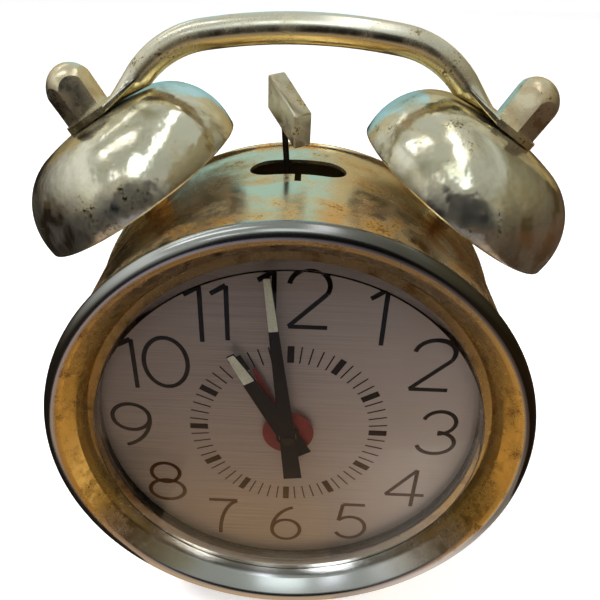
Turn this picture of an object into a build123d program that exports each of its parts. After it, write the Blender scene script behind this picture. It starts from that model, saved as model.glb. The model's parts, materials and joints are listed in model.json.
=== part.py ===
from build123d import *
import math
import os

# A wind-up twin bell alarm clock, in millimetres.
# +Z is up, the dial faces -Y and +X is to the right of someone who reads the dial.
# Every piece is drawn about the middle of the dial's front face, with the case's axis along Y.
# It is then set on the table, so that the origin lies below the middle of the clock's box.

# Clearances, all measured on the radius or along the axis
running_fit = 0.06
press_fit = 0.02
loose_fit = 0.3
cut_overrun = 2.0

# Case drum
case_lift = 8.0
case_radius = 54.75
case_wall = 0.8
case_back = 39.8
rear_bead_radius = 0.7
slot_length = 21.2
slot_width = 9.4
notch_width = 1.4
notch_length = 4.1

# Bezel, as widths in from the case's radius and distances in front of the dial
bezel_reach = 11.2
bezel_crest_inset = 1.0
bead_radius = 2.3
bead_inner_angle = 140.0
band_inset = 5.35
band_depth = 6.9
throat_inset = 6.85
lip_front = 3.2
bezel_sheet = 0.7
sheet_fold_shares = (0.8, 0.6)

# Crystal
crystal_inset = 9.2
crystal_sheet = 1.0
crystal_shoulder = 7.0
crystal_rise = 3.0
crystal_edge_radius = 0.8

# Dial
dial_thickness = 0.6

# Hands
hand_thickness = 0.45
hand_gap = 0.95
minute_hand_clearance = 1.95
minute_hand_tail = 12.6
minute_hand_tail_width = 4.5
minute_hand_tip_width = 1.5
hour_hand_length = 26.2
hour_hand_tail = 6.8
hour_hand_root_width = 5.2
hour_hand_shoulder_width = 3.2
hour_hand_shoulder_share = 0.69
hour_hand_tip_width = 1.8
alarm_disc_radius = 6.2
alarm_hand_length = 20.0
alarm_hand_root_width = 3.0
alarm_hand_tip_width = 0.8
minute_hand_angle = -7.2
alarm_hand_angle = -24.0
hour_hand_angle = minute_hand_angle / 12 - 30.0

# Bells and their posts
bell_plane = 24.0
bell_tilt = 31.72
bell_axis_offset = 4.81
bell_stand = 5.41
bell_radius = 24.75
bell_height = 16.8
bell_skirt = 1.75
bell_shoulder_share = 0.94
bell_wall = 1.0
post_radius = 3.3
stud_radius = 1.8
post_nut_flats = 6.0
post_nut_height = 3.0
post_nut_inset = 0.5

# Domed nuts on the bells
nut_flats = 8.9
nut_height = 10.1
nut_side_height = 6.1
nut_bore_depth = 6.6
nut_turn = 22.0

# Handle
handle_rod_radius = 2.75
handle_tab_width = 8.0
handle_tab_thickness = 1.3
handle_tab_margin = 0.4
handle_tab_round = 0.4
handle_swell_length = 8.5
handle_swell_lift = 0.9
handle_leg_angle = 47.0
handle_crown_angle = 8.0
handle_rise = 10.1
handle_bend_share = 0.9
handle_crown_share = 0.9

# Hammer
hammer_pivot = 27.0
hammer_lean = -5.2
hammer_rod_radius = 0.65
hammer_head_length = 8.8
hammer_head_rise = 6.3
hammer_head_height = 6.4
hammer_head_thickness = 4.8
hammer_head_yaw = 43.0
hammer_head_round = 2.2
hammer_head_lift = 17.8
hammer_head_offset = 1.3
hammer_head_grip_share = 0.5
hammer_rod_depth = 4.5
hammer_arbor_radius = 1.2
hammer_collar_radius = 3.0
hammer_collar_width = 4.0
pallet_reach = 12.0
pallet_width = 6.5
pallet_thickness = 2.4

# Feet
foot_ball_radius = 4.0
foot_flat_depth = 0.5
foot_neck_radius = 2.4
foot_flange_radius = 4.2
foot_flange_height = 1.4
foot_stud_radius = 1.6
foot_stud_depth = 3.0
front_foot_angle = 27.0
front_foot_place = 4.0
rear_foot_inset = 9.8

# Movement plates, pillars and what ties them to the case
plate_corner = 12.0
plate_thickness = 1.2
plate_gap = 1.4
pillar_radius = 2.5
pillar_inset = 5.5
dial_foot_radius = 2.2
dial_foot_circle_radius = 31.0
dial_foot_angles = (35.0, 145.0, 270.0)
cover_stud_radius = 2.6
cover_stud_circle_radius = 30.0
cover_stud_angles = (20.0, 160.0, 270.0)
cover_inset = 2.0
cover_sheet = 0.8
cover_rim = 3.0
screw_radius = 1.2
screw_head_radius = 2.6
screw_head_height = 1.2
screw_slot_width = 0.6
screw_slot_depth = 0.5
screw_tip_share = 0.26

# Wheels: one module for all of them
gear_module = 0.6
tooth_pitch_share = 0.41
tooth_tip_share = 0.14
tooth_root_share = 0.52
addendum_share = 0.85
dedendum_share = 1.2
wheel_thickness = 1.0
pinion_overhang = 0.3
level_gap = 0.9
cannon_teeth = 10
minute_wheel_teeth = 30
minute_pinion_teeth = 8
hour_wheel_teeth = 32
alarm_pinion_teeth = 12
alarm_wheel_teeth = 36
centre_pinion_teeth = 10
great_wheel_teeth = 60
verge_pinion_teeth = 8
minute_stud_angle = 180.0
alarm_arbor_angle = 60.0
time_arbor_angle = -20.0
alarm_great_angle = 197.7
alarm_great_circle_radius = 23.6
verge_angle = 48.0

# Arbors and pipes
centre_arbor_radius = 1.3
pipe_wall = 0.75
arbor_radius = 1.2
minute_stud_radius = 1.0
winding_arbor_radius = 2.0
arbor_nose = 0.4

# Great wheels, ratchets and springs
great_wheel_gap = 1.4
ratchet_radius = 6.5
ratchet_teeth = 16
ratchet_depth_share = 0.14
mainspring_outer_radius = 14.0
mainspring_strip = 0.4
mainspring_width = 9.0
mainspring_turns = 5
spiral_steps_per_turn = 16
spring_post_radius = 1.8
spring_post_angle = -60.0
verge_wheel_radius = 6.0
verge_wheel_teeth = 15
verge_depth_share = 0.3

# Balance and regulator
balance_circle_radius = 26.2
balance_angle = 46.5
balance_radius = 8.5
balance_rim = 1.4
balance_arm_width = 1.8
balance_thickness = 1.3
balance_gap = 4.0
balance_staff_radius = 0.8
balance_hub_radius = 2.4
hairspring_outer_radius = 5.0
hairspring_strip = 0.25
hairspring_stud_radius = 0.75
hairspring_width = 0.8
hairspring_turns = 6
regulator_hub_radius = 3.4
regulator_boss_radius = 2.0
regulator_arm_width = 2.4
regulator_arm_length = 12.0
regulator_thickness = 1.0
regulator_pin_radius = 0.9
regulator_pin_reach = 2.4
regulator_swing = 18.0

# Knobs and keys at the back
knob_radius = 4.6
knob_height = 6.0
knob_flutes = 20
knob_flute_share = 0.12
knob_gap = 1.0
key_hub_radius = 3.2
key_hub_height = 5.5
key_wing_radius = 5.2
key_wing_offset = 6.0
key_wing_hole_share = 0.42
key_blade_thickness = 1.8
key_blade_rise = 2.4
key_time_turn = 18.0
key_alarm_turn = -35.0

# Shape helpers


def polar(radius, angle):
    return (radius * math.cos(math.radians(angle)), radius * math.sin(math.radians(angle)))


def slab(sketch, front, thickness):
    """A flat piece drawn in X and Z, from its front face backwards."""
    return Pos(0, front + thickness, 0) * Rot(90, 0, 0) * extrude(sketch, thickness)


def rod(radius, front, back, place=(0, 0)):
    """A round bar along Y."""
    return slab(Pos(*place) * Circle(radius), front, back - front)


def turned(outline):
    """A piece turned about the case's axis, drawn as distance from the axis and place along Y."""
    return revolve(make_face(outline), Axis.Y)


def gear_outline(teeth, turn):
    """A wheel's outline with straight-sided teeth, one of them centred at the angle turn."""
    pitch_radius = gear_module * teeth / 2
    tip_radius = pitch_radius + addendum_share * gear_module
    root_radius = pitch_radius - dedendum_share * gear_module
    circular_pitch = math.pi * gear_module
    points = []
    for tooth in range(teeth):
        middle = turn + 360 * tooth / teeth
        sides = ((root_radius, -tooth_root_share), (pitch_radius, -tooth_pitch_share),
                 (tip_radius, -tooth_tip_share), (tip_radius, tooth_tip_share),
                 (pitch_radius, tooth_pitch_share), (root_radius, tooth_root_share))
        for radius, share in sides:
            half_angle = math.degrees(share * circular_pitch / 2 / radius)
            points.append(polar(radius, middle + half_angle))
    return make_face(Polyline(*points, close=True))


def saw_outline(radius, teeth, depth_share):
    """The outline of a wheel with leaning, saw-like teeth."""
    points = []
    for tooth in range(teeth):
        start = 360 * tooth / teeth
        points.append(polar(radius, start))
        points.append(polar(radius * (1 - depth_share), start))
    return make_face(Polyline(*points, close=True))


def spiral_strip(inner_radius, outer_radius, strip, turns, end_angle):
    """A flat coiled spring seen along its axis. Its outer end lies at end_angle."""
    steps = turns * spiral_steps_per_turn
    outer_side = []
    inner_side = []
    for step in range(steps + 1):
        angle = end_angle - 360 * (steps - step) / spiral_steps_per_turn
        radius = inner_radius + (outer_radius - inner_radius - strip) * step / steps
        inner_side.append(polar(radius, angle))
        outer_side.append(polar(radius + strip, angle))
    return make_face(Polyline(*inner_side, *reversed(outer_side), close=True))


def pitch_distance(teeth_a, teeth_b):
    return gear_module * (teeth_a + teeth_b) / 2


def hexagon(flats):
    return RegularPolygon(radius=flats / 2, side_count=6, major_radius=False)


# Sizes across, all from the case's radius

axis_height = case_radius + case_lift
bezel_crest_radius = case_radius - bezel_crest_inset
band_inner_radius = case_radius - band_inset
throat_radius = case_radius - throat_inset
crystal_radius = case_radius - crystal_inset
minute_hand_length = crystal_radius - crystal_sheet - minute_hand_clearance
hammer_head_top = case_radius + hammer_head_lift - hammer_pivot

# Levels along Y, counted from the dial's front face

case_bore = case_radius - case_wall
bead_middle = -(bezel_reach - bead_radius)
case_front = bead_middle + math.sqrt(bead_radius**2 - (case_radius - bezel_crest_radius) ** 2)
lip_back = -(lip_front - bezel_sheet)
cover_back = case_back - cover_inset
cover_front = cover_back - cover_sheet

alarm_hand_back = -hand_gap
hour_hand_back = alarm_hand_back - hand_thickness - hand_gap
minute_hand_back = hour_hand_back - hand_thickness - hand_gap
minute_hand_front = minute_hand_back - hand_thickness

alarm_wheel_front = dial_thickness + level_gap
hour_wheel_front = alarm_wheel_front + wheel_thickness + level_gap
minute_wheel_front = hour_wheel_front + wheel_thickness + level_gap
front_plate_front = minute_wheel_front + wheel_thickness + level_gap
front_plate_back = front_plate_front + plate_thickness
back_plate_front = bell_plane + hammer_collar_width / 2 + plate_gap
back_plate_back = back_plate_front + plate_thickness
great_wheel_front = front_plate_back + great_wheel_gap
great_wheel_back = great_wheel_front + wheel_thickness
ratchet_front = great_wheel_back + loose_fit
ratchet_back = ratchet_front + wheel_thickness
mainspring_front = ratchet_back + loose_fit
balance_front = back_plate_front - balance_gap
regulator_front = back_plate_back + loose_fit
screw_tip = back_plate_back + screw_tip_share * (cover_front - back_plate_back)
rear_foot_place = case_back - rear_foot_inset
knob_front = cover_back + knob_gap
key_front = cover_back + knob_gap
key_back = key_front + key_blade_rise + 2 * key_wing_radius

# Places in X and Z

minute_stud_place = polar(pitch_distance(cannon_teeth, minute_wheel_teeth), minute_stud_angle)
alarm_arbor_place = polar(pitch_distance(alarm_pinion_teeth, alarm_wheel_teeth), alarm_arbor_angle)
great_distance = pitch_distance(centre_pinion_teeth, great_wheel_teeth)
time_arbor_place = polar(great_distance, time_arbor_angle)
alarm_great_place = polar(alarm_great_circle_radius, alarm_great_angle)
verge_step = polar(pitch_distance(great_wheel_teeth, verge_pinion_teeth), verge_angle)
verge_place = (alarm_great_place[0] + verge_step[0], alarm_great_place[1] + verge_step[1])
hammer_place = (0, hammer_pivot)
balance_place = polar(balance_circle_radius, balance_angle)
great_tip_radius = gear_module * (great_wheel_teeth / 2 + addendum_share)
great_wheel_drop = great_tip_radius - min(time_arbor_place[1], alarm_great_place[1])
pillar_x = balance_place[0] + balance_radius + loose_fit + pillar_radius
pillar_z = great_wheel_drop + loose_fit + pillar_radius
plate_width = 2 * (pillar_x + pillar_inset)
plate_height = 2 * (pillar_z + pillar_inset)
pillar_places = [(x * pillar_x, z * pillar_z) for x in (-1, 1) for z in (-1, 1)]
dial_foot_places = [polar(dial_foot_circle_radius, angle) for angle in dial_foot_angles]
cover_stud_places = [polar(cover_stud_circle_radius, angle) for angle in cover_stud_angles]

# The bells' axis leaves the case where it crosses the drum
bell_sine = math.sin(math.radians(bell_tilt))
bell_cosine = math.cos(math.radians(bell_tilt))
half_chord = math.sqrt(case_radius**2 - (bell_axis_offset * bell_cosine) ** 2)
axis_to_drum = half_chord - bell_axis_offset * bell_sine
axis_to_rim = axis_to_drum + bell_stand
hour_pipe_radius = centre_arbor_radius + running_fit + pipe_wall
alarm_pipe_radius = hour_pipe_radius + running_fit + pipe_wall
nut_corner_radius = nut_flats / math.sqrt(3)
handle_tab_length = nut_corner_radius + handle_tab_margin


def on_bell_axis(side, height=0):
    """The frame of one bell: Z along its axis, with height above the rim's plane."""
    foot = Pos(side * bell_axis_offset, bell_plane, 0) * Rot(0, side * bell_tilt, 0)
    return foot * Pos(0, 0, axis_to_rim + height)


# Case


def make_case_drum():
    wall = Pos((case_radius + case_bore) / 2, (case_front + case_back) / 2) * Rectangle(
        case_wall, case_back - case_front)
    bead = Pos(case_radius, case_back - rear_bead_radius) * Circle(rear_bead_radius)
    drum = revolve(wall + bead, Axis.Y)
    slot = Pos(0, bell_plane) * SlotOverall(slot_length, slot_width)
    notch_reach = slot_width / 2 + notch_length
    notch = Pos(0, bell_plane - notch_reach / 2) * Rectangle(notch_width, notch_reach)
    drum -= Pos(0, 0, case_radius / 2) * extrude(slot + notch, case_radius)
    for side in (-1, 1):
        stud_hole = Pos(0, 0, -bell_stand) * Cylinder(stud_radius + press_fit, bell_stand + cut_overrun)
        drum -= on_bell_axis(side) * stud_hole
    for place, angle in foot_places():
        foot_hole = Pos(0, 0, case_radius) * Cylinder(foot_stud_radius + press_fit, 2 * foot_stud_depth)
        drum -= foot_frame(place, angle) * foot_hole
    return drum


def make_bezel():
    skirt_outer = case_bore - press_fit
    skirt_inner = skirt_outer - bezel_sheet
    fold_out = sheet_fold_shares[0] * bezel_sheet
    fold_back = sheet_fold_shares[1] * bezel_sheet
    lip_radius = crystal_radius + loose_fit

    def on_bead(angle):
        radius_step, reach_step = polar(bead_radius, angle)
        return (bezel_crest_radius + radius_step, bead_middle - reach_step)

    bead_inner = on_bead(bead_inner_angle)
    front = Polyline((lip_radius, -lip_front), (throat_radius, -lip_front),
                     (band_inner_radius, -band_depth), bead_inner)
    bead = ThreePointArc(bead_inner, on_bead(bead_inner_angle / 4), (case_radius, case_front))
    back = Polyline(
        (case_radius, case_front), (skirt_outer, case_front), (skirt_outer, 0), (skirt_inner, 0),
        (skirt_inner, bead_middle), (bead_inner[0] + fold_out, bead_inner[1] + fold_back),
        (band_inner_radius + fold_out, -band_depth + fold_back), (throat_radius + fold_out, lip_back),
        (lip_radius, lip_back), (lip_radius, -lip_front))
    return turned(front + bead + back)


def make_crystal():
    flange_radius = throat_radius
    dome_front = -(crystal_shoulder + crystal_rise)
    dome_sphere = (crystal_radius**2 + crystal_rise**2) / (2 * crystal_rise)

    def dome(radius):
        return dome_front + dome_sphere - math.sqrt(dome_sphere**2 - radius**2)

    bore = crystal_radius - crystal_sheet
    half = crystal_radius / 2
    edge = (crystal_radius, dome(crystal_radius))
    outside = ThreePointArc((0, dome_front), (half, dome(half)), edge)
    rim = Polyline(edge, (crystal_radius, lip_back), (flange_radius, lip_back),
                   (flange_radius, 0), (bore, 0), (bore, dome(bore) + crystal_sheet))
    inside = ThreePointArc((bore, dome(bore) + crystal_sheet), (bore / 2, dome(bore / 2) + crystal_sheet),
                           (0, dome_front + crystal_sheet))
    middle = Line((0, dome_front + crystal_sheet), (0, dome_front))
    crystal = turned(outside + rim + inside + middle)
    rings = [ring for ring in crystal.edges() if ring.is_closed]
    return fillet(sorted(rings, key=lambda ring: ring.center().Y)[0], crystal_edge_radius)


def make_dial():
    return slab(Circle(case_bore - loose_fit) - Circle(alarm_pipe_radius + loose_fit), 0, dial_thickness)


def make_back_cover():
    cover_radius = case_bore - press_fit
    face = Circle(cover_radius)
    for place in (time_arbor_place, alarm_great_place):
        face -= Pos(*place) * Circle(winding_arbor_radius + loose_fit)
    face -= Circle(centre_arbor_radius + loose_fit)
    face -= Pos(*alarm_arbor_place) * Circle(arbor_radius + loose_fit)
    for place in cover_stud_places:
        face -= Pos(*place) * Circle(screw_radius + press_fit)
    face -= regulator_window()
    rim = Circle(cover_radius) - Circle(cover_radius - cover_sheet)
    return slab(face, cover_front, cover_sheet) + slab(rim, cover_front - cover_rim, cover_rim)


def make_cover_screws():
    head_slot = Rectangle(2 * screw_head_radius + cut_overrun, screw_slot_width)
    screws = []
    for place in cover_stud_places:
        shank = rod(screw_radius, screw_tip, cover_back, place)
        head = rod(screw_head_radius, cover_back, cover_back + screw_head_height, place)
        groove_front = cover_back + screw_head_height - screw_slot_depth
        groove = slab(Pos(*place) * head_slot, groove_front, screw_head_height)
        screws.append(shank + head - groove)
    return Compound(screws)


def foot_places():
    """Each foot's place along the case and its angle from straight down."""
    return ((front_foot_place, -front_foot_angle), (front_foot_place, front_foot_angle),
            (rear_foot_place, 0))


def foot_frame(place, angle):
    """Z runs from the case's axis out through one foot."""
    return Pos(0, place, 0) * Rot(0, 180 - angle, 0)


def make_foot(place, angle):
    ball_middle = (axis_height - foot_ball_radius + foot_flat_depth) / math.cos(math.radians(angle))
    inner_end = case_bore - foot_stud_depth
    stud = Pos(0, 0, inner_end) * Cylinder(foot_stud_radius, ball_middle - inner_end, align=bottom)
    neck = Pos(0, 0, case_bore) * Cylinder(foot_neck_radius, ball_middle - case_bore, align=bottom)
    flange_height = case_wall + foot_flange_height
    flange = Pos(0, 0, case_bore) * Cylinder(foot_flange_radius, flange_height, align=bottom)
    drum = Rot(90, 0, 0) * Cylinder(case_radius + press_fit, 2 * case_back)
    outside = neck + flange + Pos(0, 0, ball_middle) * Sphere(foot_ball_radius) - drum
    foot = foot_frame(place, angle) * (outside + stud)
    table = Box(2 * case_radius, 2 * case_back, 2 * foot_ball_radius, align=top)
    below_table = Pos(0, place, -axis_height) * table
    return foot - below_table


# Movement frame


def plate_outline():
    return RectangleRounded(plate_width, plate_height, plate_corner)


def plate_holes():
    """The arbors that run in both plates, with their places and radii."""
    return (((0, 0), centre_arbor_radius), (alarm_arbor_place, arbor_radius),
            (time_arbor_place, winding_arbor_radius), (alarm_great_place, winding_arbor_radius),
            (verge_place, arbor_radius), (hammer_place, hammer_arbor_radius),
            (balance_place, balance_staff_radius))


def make_front_plate():
    outline = plate_outline()
    for place, radius in plate_holes():
        outline -= Pos(*place) * Circle(radius + running_fit)
    return slab(outline, front_plate_front, plate_thickness)


def make_back_plate():
    boss_back = regulator_front + regulator_thickness
    boss = rod(regulator_boss_radius, back_plate_back, boss_back, balance_place)
    plate = slab(plate_outline(), back_plate_front, plate_thickness) + boss
    for place, radius in plate_holes():
        plate -= rod(radius + running_fit, back_plate_front - cut_overrun, boss_back + cut_overrun, place)
    return plate


def make_posts(places, radius, front, back):
    return Compound([rod(radius, front, back, place) for place in places])


def make_cover_studs():
    studs = []
    for place in cover_stud_places:
        bore = rod(screw_radius + press_fit, screw_tip - loose_fit, cover_front, place)
        studs.append(rod(cover_stud_radius, back_plate_back, cover_front, place) - bore)
    return Compound(studs)


# Hands and motion work


def hand_blade(widths):
    """A flat hand that points up: pairs of distance from the arbor and width there, from tail to tip."""
    right = [(width / 2, distance) for distance, width in widths]
    left = [(-width / 2, distance) for distance, width in reversed(widths)]
    return make_face(Polyline(*right, *left, close=True))


def make_minute_hand():
    blade = hand_blade([(-minute_hand_tail, minute_hand_tail_width),
                        (minute_hand_length, minute_hand_tip_width)])
    hand = slab(blade - Circle(centre_arbor_radius + press_fit), minute_hand_front, hand_thickness)
    return Rot(0, minute_hand_angle, 0) * hand


def make_hour_hand():
    shoulder = hour_hand_shoulder_share * hour_hand_length
    blade = hand_blade([(-hour_hand_tail, hour_hand_root_width), (shoulder, hour_hand_shoulder_width),
                        (hour_hand_length, hour_hand_tip_width)])
    hub = Circle(hour_pipe_radius + pipe_wall)
    face = blade + hub - Circle(hour_pipe_radius + press_fit)
    hand = slab(face, hour_hand_back - hand_thickness, hand_thickness)
    return Rot(0, hour_hand_angle, 0) * hand


def make_alarm_hand():
    blade = hand_blade([(0, alarm_hand_root_width), (alarm_hand_length, alarm_hand_tip_width)])
    face = blade + Circle(alarm_disc_radius) - Circle(alarm_pipe_radius + press_fit)
    return Rot(0, alarm_hand_angle, 0) * slab(face, alarm_hand_back - hand_thickness, hand_thickness)


def make_wheel(teeth, turn, front, bore_radius):
    return slab(gear_outline(teeth, turn) - Circle(bore_radius), front, wheel_thickness)


def make_pinion(teeth, turn, wheel_front):
    length = wheel_thickness + 2 * pinion_overhang
    return slab(gear_outline(teeth, turn), wheel_front - pinion_overhang, length)


def gap_turn(teeth, angle):
    """Turns a wheel so that the gap between two teeth lies at this angle."""
    return angle + 180 / teeth


def at(place, piece):
    return Pos(place[0], 0, place[1]) * piece


def make_centre_arbor():
    arbor = rod(centre_arbor_radius, minute_hand_front - arbor_nose, knob_front + knob_height / 2)
    cannon = make_pinion(cannon_teeth, gap_turn(cannon_teeth, minute_stud_angle), minute_wheel_front)
    pinion_turn = gap_turn(centre_pinion_teeth, time_arbor_angle)
    centre_pinion = make_pinion(centre_pinion_teeth, pinion_turn, great_wheel_front)
    return arbor + cannon + centre_pinion


def make_minute_wheel():
    bore_radius = minute_stud_radius + running_fit
    wheel = make_wheel(minute_wheel_teeth, minute_stud_angle + 180, minute_wheel_front, bore_radius)
    return at(minute_stud_place, wheel)


def make_minute_pinion():
    turn = gap_turn(minute_pinion_teeth, minute_stud_angle + 180)
    pinion = make_pinion(minute_pinion_teeth, turn, hour_wheel_front)
    neck = rod(minute_stud_radius + pipe_wall, hour_wheel_front, minute_wheel_front)
    bore = rod(minute_stud_radius + running_fit, dial_thickness, front_plate_front)
    return at(minute_stud_place, pinion + neck - bore)


def make_minute_stud():
    return rod(minute_stud_radius, hour_wheel_front - pinion_overhang, front_plate_front, minute_stud_place)


def make_hour_wheel():
    bore_radius = centre_arbor_radius + running_fit
    pipe_front = hour_hand_back - hand_thickness - arbor_nose
    wheel = make_wheel(hour_wheel_teeth, minute_stud_angle, hour_wheel_front, bore_radius)
    pipe = rod(hour_pipe_radius, pipe_front, hour_wheel_front + wheel_thickness)
    return wheel + pipe - rod(bore_radius, minute_hand_front, front_plate_front)


def make_alarm_wheel():
    bore_radius = hour_pipe_radius + running_fit
    pipe_front = alarm_hand_back - hand_thickness - arbor_nose
    wheel = make_wheel(alarm_wheel_teeth, alarm_arbor_angle, alarm_wheel_front, bore_radius)
    pipe = rod(alarm_pipe_radius, pipe_front, alarm_wheel_front + wheel_thickness)
    return wheel + pipe - rod(bore_radius, minute_hand_front, front_plate_front)


def make_alarm_set_arbor():
    turn = gap_turn(alarm_pinion_teeth, alarm_arbor_angle + 180)
    pinion = make_pinion(alarm_pinion_teeth, turn, alarm_wheel_front)
    arbor = rod(arbor_radius, alarm_wheel_front - pinion_overhang, knob_front + knob_height / 2)
    return at(alarm_arbor_place, arbor + pinion)


def make_knob(bore_radius):
    flute_radius = knob_radius * knob_flute_share
    outline = Circle(knob_radius)
    for flute in range(knob_flutes):
        outline -= Pos(*polar(knob_radius, 360 * flute / knob_flutes)) * Circle(flute_radius)
    bore = rod(bore_radius + press_fit, knob_front, knob_front + knob_height / 2)
    return slab(outline, knob_front, knob_height) - bore


# Winding, striking and the balance


def make_winding_arbor(place):
    return rod(winding_arbor_radius, front_plate_front, key_front + key_hub_height / 2, place)


def make_ratchet(place):
    bore = Circle(winding_arbor_radius + press_fit)
    outline = saw_outline(ratchet_radius, ratchet_teeth, ratchet_depth_share) - bore
    return at(place, slab(outline, ratchet_front, wheel_thickness))


def make_great_wheel(place, turn):
    bore_radius = winding_arbor_radius + running_fit
    return at(place, make_wheel(great_wheel_teeth, turn, great_wheel_front, bore_radius))


def make_mainspring(place, end_angle):
    inner_radius = winding_arbor_radius + loose_fit
    outer_radius = mainspring_outer_radius
    strip = spiral_strip(inner_radius, outer_radius, mainspring_strip, mainspring_turns, end_angle)
    return at(place, slab(strip, mainspring_front, mainspring_width))


def spring_post_places():
    reach = mainspring_outer_radius + spring_post_radius + press_fit
    right = polar(reach, spring_post_angle)
    return [(time_arbor_place[0] + right[0], time_arbor_place[1] + right[1]),
            (alarm_great_place[0] - right[0], alarm_great_place[1] + right[1])]


def make_key(place, turn):
    hub = rod(key_hub_radius, key_front, key_front + key_hub_height)
    blade_outline = Pos(0, key_front + key_blade_rise + key_wing_radius) * Rectangle(
        2 * key_wing_offset, 2 * key_hub_radius)
    for side in (-1, 1):
        wing = Pos(side * key_wing_offset, key_front + key_blade_rise + key_wing_radius)
        blade_outline += wing * Circle(key_wing_radius)
    for side in (-1, 1):
        wing = Pos(side * key_wing_offset, key_front + key_blade_rise + key_wing_radius)
        blade_outline -= wing * Circle(key_wing_radius * key_wing_hole_share)
    blade = Pos(0, 0, -key_blade_thickness / 2) * extrude(blade_outline, key_blade_thickness)
    bore = rod(winding_arbor_radius + press_fit, key_front - cut_overrun, key_front + key_hub_height / 2)
    return at(place, Rot(0, turn, 0) * (hub + blade - bore))


def make_verge_arbor():
    turn = gap_turn(verge_pinion_teeth, verge_angle + 180)
    pinion = make_pinion(verge_pinion_teeth, turn, great_wheel_front)
    return at(verge_place, rod(arbor_radius, front_plate_front, back_plate_back) + pinion)


def pallet_front():
    return bell_plane - hammer_collar_width / 2 - pallet_thickness


def make_verge_wheel():
    bore = Circle(arbor_radius + press_fit)
    outline = saw_outline(verge_wheel_radius, verge_wheel_teeth, verge_depth_share) - bore
    wheel_front = pallet_front() + (pallet_thickness - wheel_thickness) / 2
    return at(verge_place, slab(outline, wheel_front, wheel_thickness))


def make_hammer_arbor():
    arbor = rod(hammer_arbor_radius, front_plate_front, back_plate_back)
    half_collar = hammer_collar_width / 2
    collar = rod(hammer_collar_radius, bell_plane - half_collar, bell_plane + half_collar)
    hole_radius = hammer_rod_radius + press_fit
    rod_hole = Pos(0, bell_plane, 0) * Cylinder(hole_radius, 2 * hammer_collar_radius, align=bottom)
    return at(hammer_place, Rot(0, hammer_lean, 0) * (arbor + collar - rod_hole))


def make_hammer_pallets():
    prong = Pos(0, -pallet_reach / 2) * Rectangle(pallet_width, pallet_reach)
    notch = Pos(0, -pallet_reach) * Rectangle(pallet_width / 2, pallet_reach / 2)
    outline = prong - notch + Circle(pallet_width / 2) - Circle(hammer_arbor_radius + press_fit)
    return at(hammer_place, Rot(0, hammer_lean, 0) * slab(outline, pallet_front(), pallet_thickness))


def head_on_rod():
    """Where the rod meets the head: along the head, and the head's underside there above the pivot."""
    grip = hammer_head_grip_share * hammer_head_length
    top = hammer_head_top - hammer_head_rise * (1 - hammer_head_grip_share)
    return grip, top - hammer_head_height


def make_hammer_rod():
    grip, underside = head_on_rod()
    length = underside + hammer_rod_depth
    straight = Pos(0, bell_plane, 0) * Cylinder(hammer_rod_radius, length, align=bottom)
    return at(hammer_place, Rot(0, hammer_lean, 0) * straight)


def make_hammer_head():
    grip, underside = head_on_rod()
    rise = hammer_head_rise
    front_top = (-grip, underside + hammer_head_height - rise * hammer_head_grip_share)
    back_top = (hammer_head_length - grip, front_top[1] + rise)
    outline = make_face(Polyline(front_top, back_top, (back_top[0], back_top[1] - hammer_head_height),
                                 (front_top[0], front_top[1] - hammer_head_height), close=True))
    lower_front = outline.vertices().sort_by(Axis.Y)[0]
    outline = fillet(lower_front, hammer_head_round)
    side_on = Rot(0, 0, 90) * Rot(90, 0, 0) * extrude(outline, hammer_head_thickness / 2, both=True)
    lean = math.radians(hammer_lean)
    middle = underside + hammer_head_height / 2
    head_x = middle * math.sin(lean) + hammer_head_offset
    place = Pos(head_x, bell_plane, middle * (math.cos(lean) - 1))
    head = place * Rot(0, 0, hammer_head_yaw) * side_on
    bore_length = underside + hammer_rod_depth
    bore = Pos(0, bell_plane, 0) * Cylinder(hammer_rod_radius + press_fit, bore_length, align=bottom)
    return at(hammer_place, head - Rot(0, hammer_lean, 0) * bore)


def make_balance_wheel():
    rim = Circle(balance_radius) - Circle(balance_radius - balance_rim)
    arm = Rectangle(2 * balance_radius - balance_rim, balance_arm_width)
    outline = rim + arm + Circle(balance_hub_radius) - Circle(balance_staff_radius + press_fit)
    return at(balance_place, slab(outline, balance_front, balance_thickness))


def make_balance_staff():
    return rod(balance_staff_radius, front_plate_front, back_plate_back, balance_place)


def make_hairspring():
    inner_radius = balance_staff_radius + loose_fit
    strip = spiral_strip(inner_radius, hairspring_outer_radius, hairspring_strip, hairspring_turns, 0)
    stud = Pos(hairspring_outer_radius, 0) * Circle(hairspring_stud_radius)
    front = back_plate_front - hairspring_width - loose_fit
    coil = slab(strip, front, hairspring_width)
    return at(balance_place, coil + slab(stud, front, back_plate_front - front))


def regulator_window():
    """The curved slot in the back cover that the regulator's pin moves in."""
    pin_space = regulator_pin_radius + loose_fit
    ring = Circle(regulator_arm_length + pin_space) - Circle(regulator_arm_length - pin_space)
    wedge_reach = 2 * regulator_arm_length
    half_angle = math.radians(regulator_swing) + 2 * pin_space / regulator_arm_length
    side = wedge_reach * math.tan(half_angle)
    wedge = make_face(Polyline((0, 0), (side, wedge_reach), (-side, wedge_reach), close=True))
    return Pos(*balance_place) * (ring & wedge)


def make_regulator_lever():
    arm = Pos(0, regulator_arm_length / 2) * Rectangle(regulator_arm_width, regulator_arm_length)
    tip = Pos(0, regulator_arm_length) * Circle(regulator_arm_width / 2)
    outline = arm + tip + Circle(regulator_hub_radius) - Circle(regulator_boss_radius + running_fit)
    lever = slab(outline, regulator_front, regulator_thickness)
    pin_back = cover_back + regulator_pin_reach
    pin = rod(regulator_pin_radius, regulator_front, pin_back, (0, regulator_arm_length))
    return at(balance_place, lever + pin)


# Bells, nuts and handle


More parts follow.
